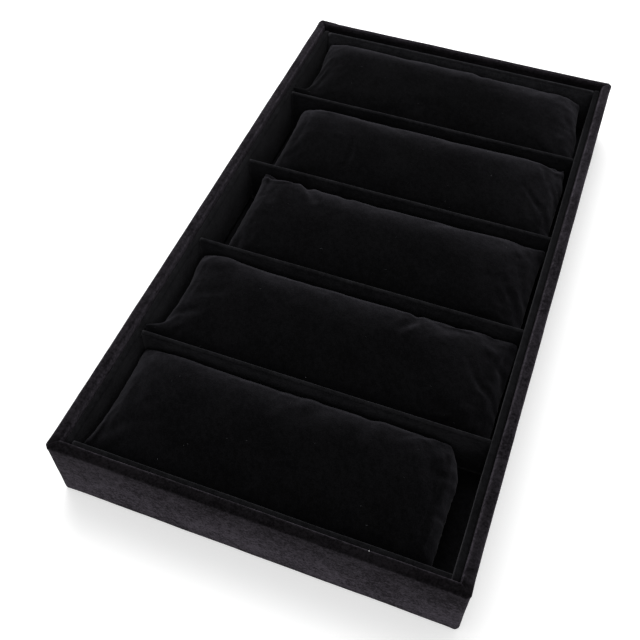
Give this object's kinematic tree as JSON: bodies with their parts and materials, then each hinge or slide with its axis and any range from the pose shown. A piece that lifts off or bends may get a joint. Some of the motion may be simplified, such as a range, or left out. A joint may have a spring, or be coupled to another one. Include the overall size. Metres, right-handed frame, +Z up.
{
  "type": "watch display tray",
  "caption": "Shallow oblong velvet-covered tray, divided crosswise into compartments that each hold a loose filled velvet pillow for a watch.",
  "frame": {"origin": "middle of the underside, on the surface that the tray stands on", "axes": "+Z up, +Y along the length towards the rear end, +X along the width to the right"},
  "size_m": [0.21, 0.375, 0.044],
  "materials": {
    "outer_velvet": "black flocked velvet, matt, with a soft sheen at grazing angles",
    "lining_velvet": "black flocked velvet, matt, lighter along its folded edges",
    "pillow_velvet": "black flocked velvet over soft filling, matt, with a soft sheen at grazing angles",
    "black_felt": "thin black felt, matt",
    "fibreboard": "raw brown fibreboard, hidden under the cloth",
    "grey_card": "raw grey card, hidden under the cloth"
  },
  "bodies": {
    "root": {"base_board": "fibreboard", "left_side_board": "fibreboard", "right_side_board": "fibreboard", "front_end_board": "fibreboard", "rear_end_board": "fibreboard", "outer_velvet_cover": "outer_velvet", "underside_lining": "black_felt", "floor_card": "grey_card", "floor_velvet": "lining_velvet", "left_lining_card": "grey_card", "left_lining_velvet": "lining_velvet", "right_lining_card": "grey_card", "right_lining_velvet": "lining_velvet", "front_lining_card": "grey_card", "front_lining_velvet": "lining_velvet", "rear_lining_card": "grey_card", "rear_lining_velvet": "lining_velvet", "divider_1_card": "grey_card", "divider_1_velvet": "lining_velvet", "divider_2_card": "grey_card", "divider_2_velvet": "lining_velvet", "divider_3_card": "grey_card", "divider_3_velvet": "lining_velvet", "divider_4_card": "grey_card", "divider_4_velvet": "lining_velvet", "pillow_1": "pillow_velvet", "pillow_2": "pillow_velvet", "pillow_3": "pillow_velvet", "pillow_4": "pillow_velvet", "pillow_5": "pillow_velvet"}
  },
  "joints": []
}
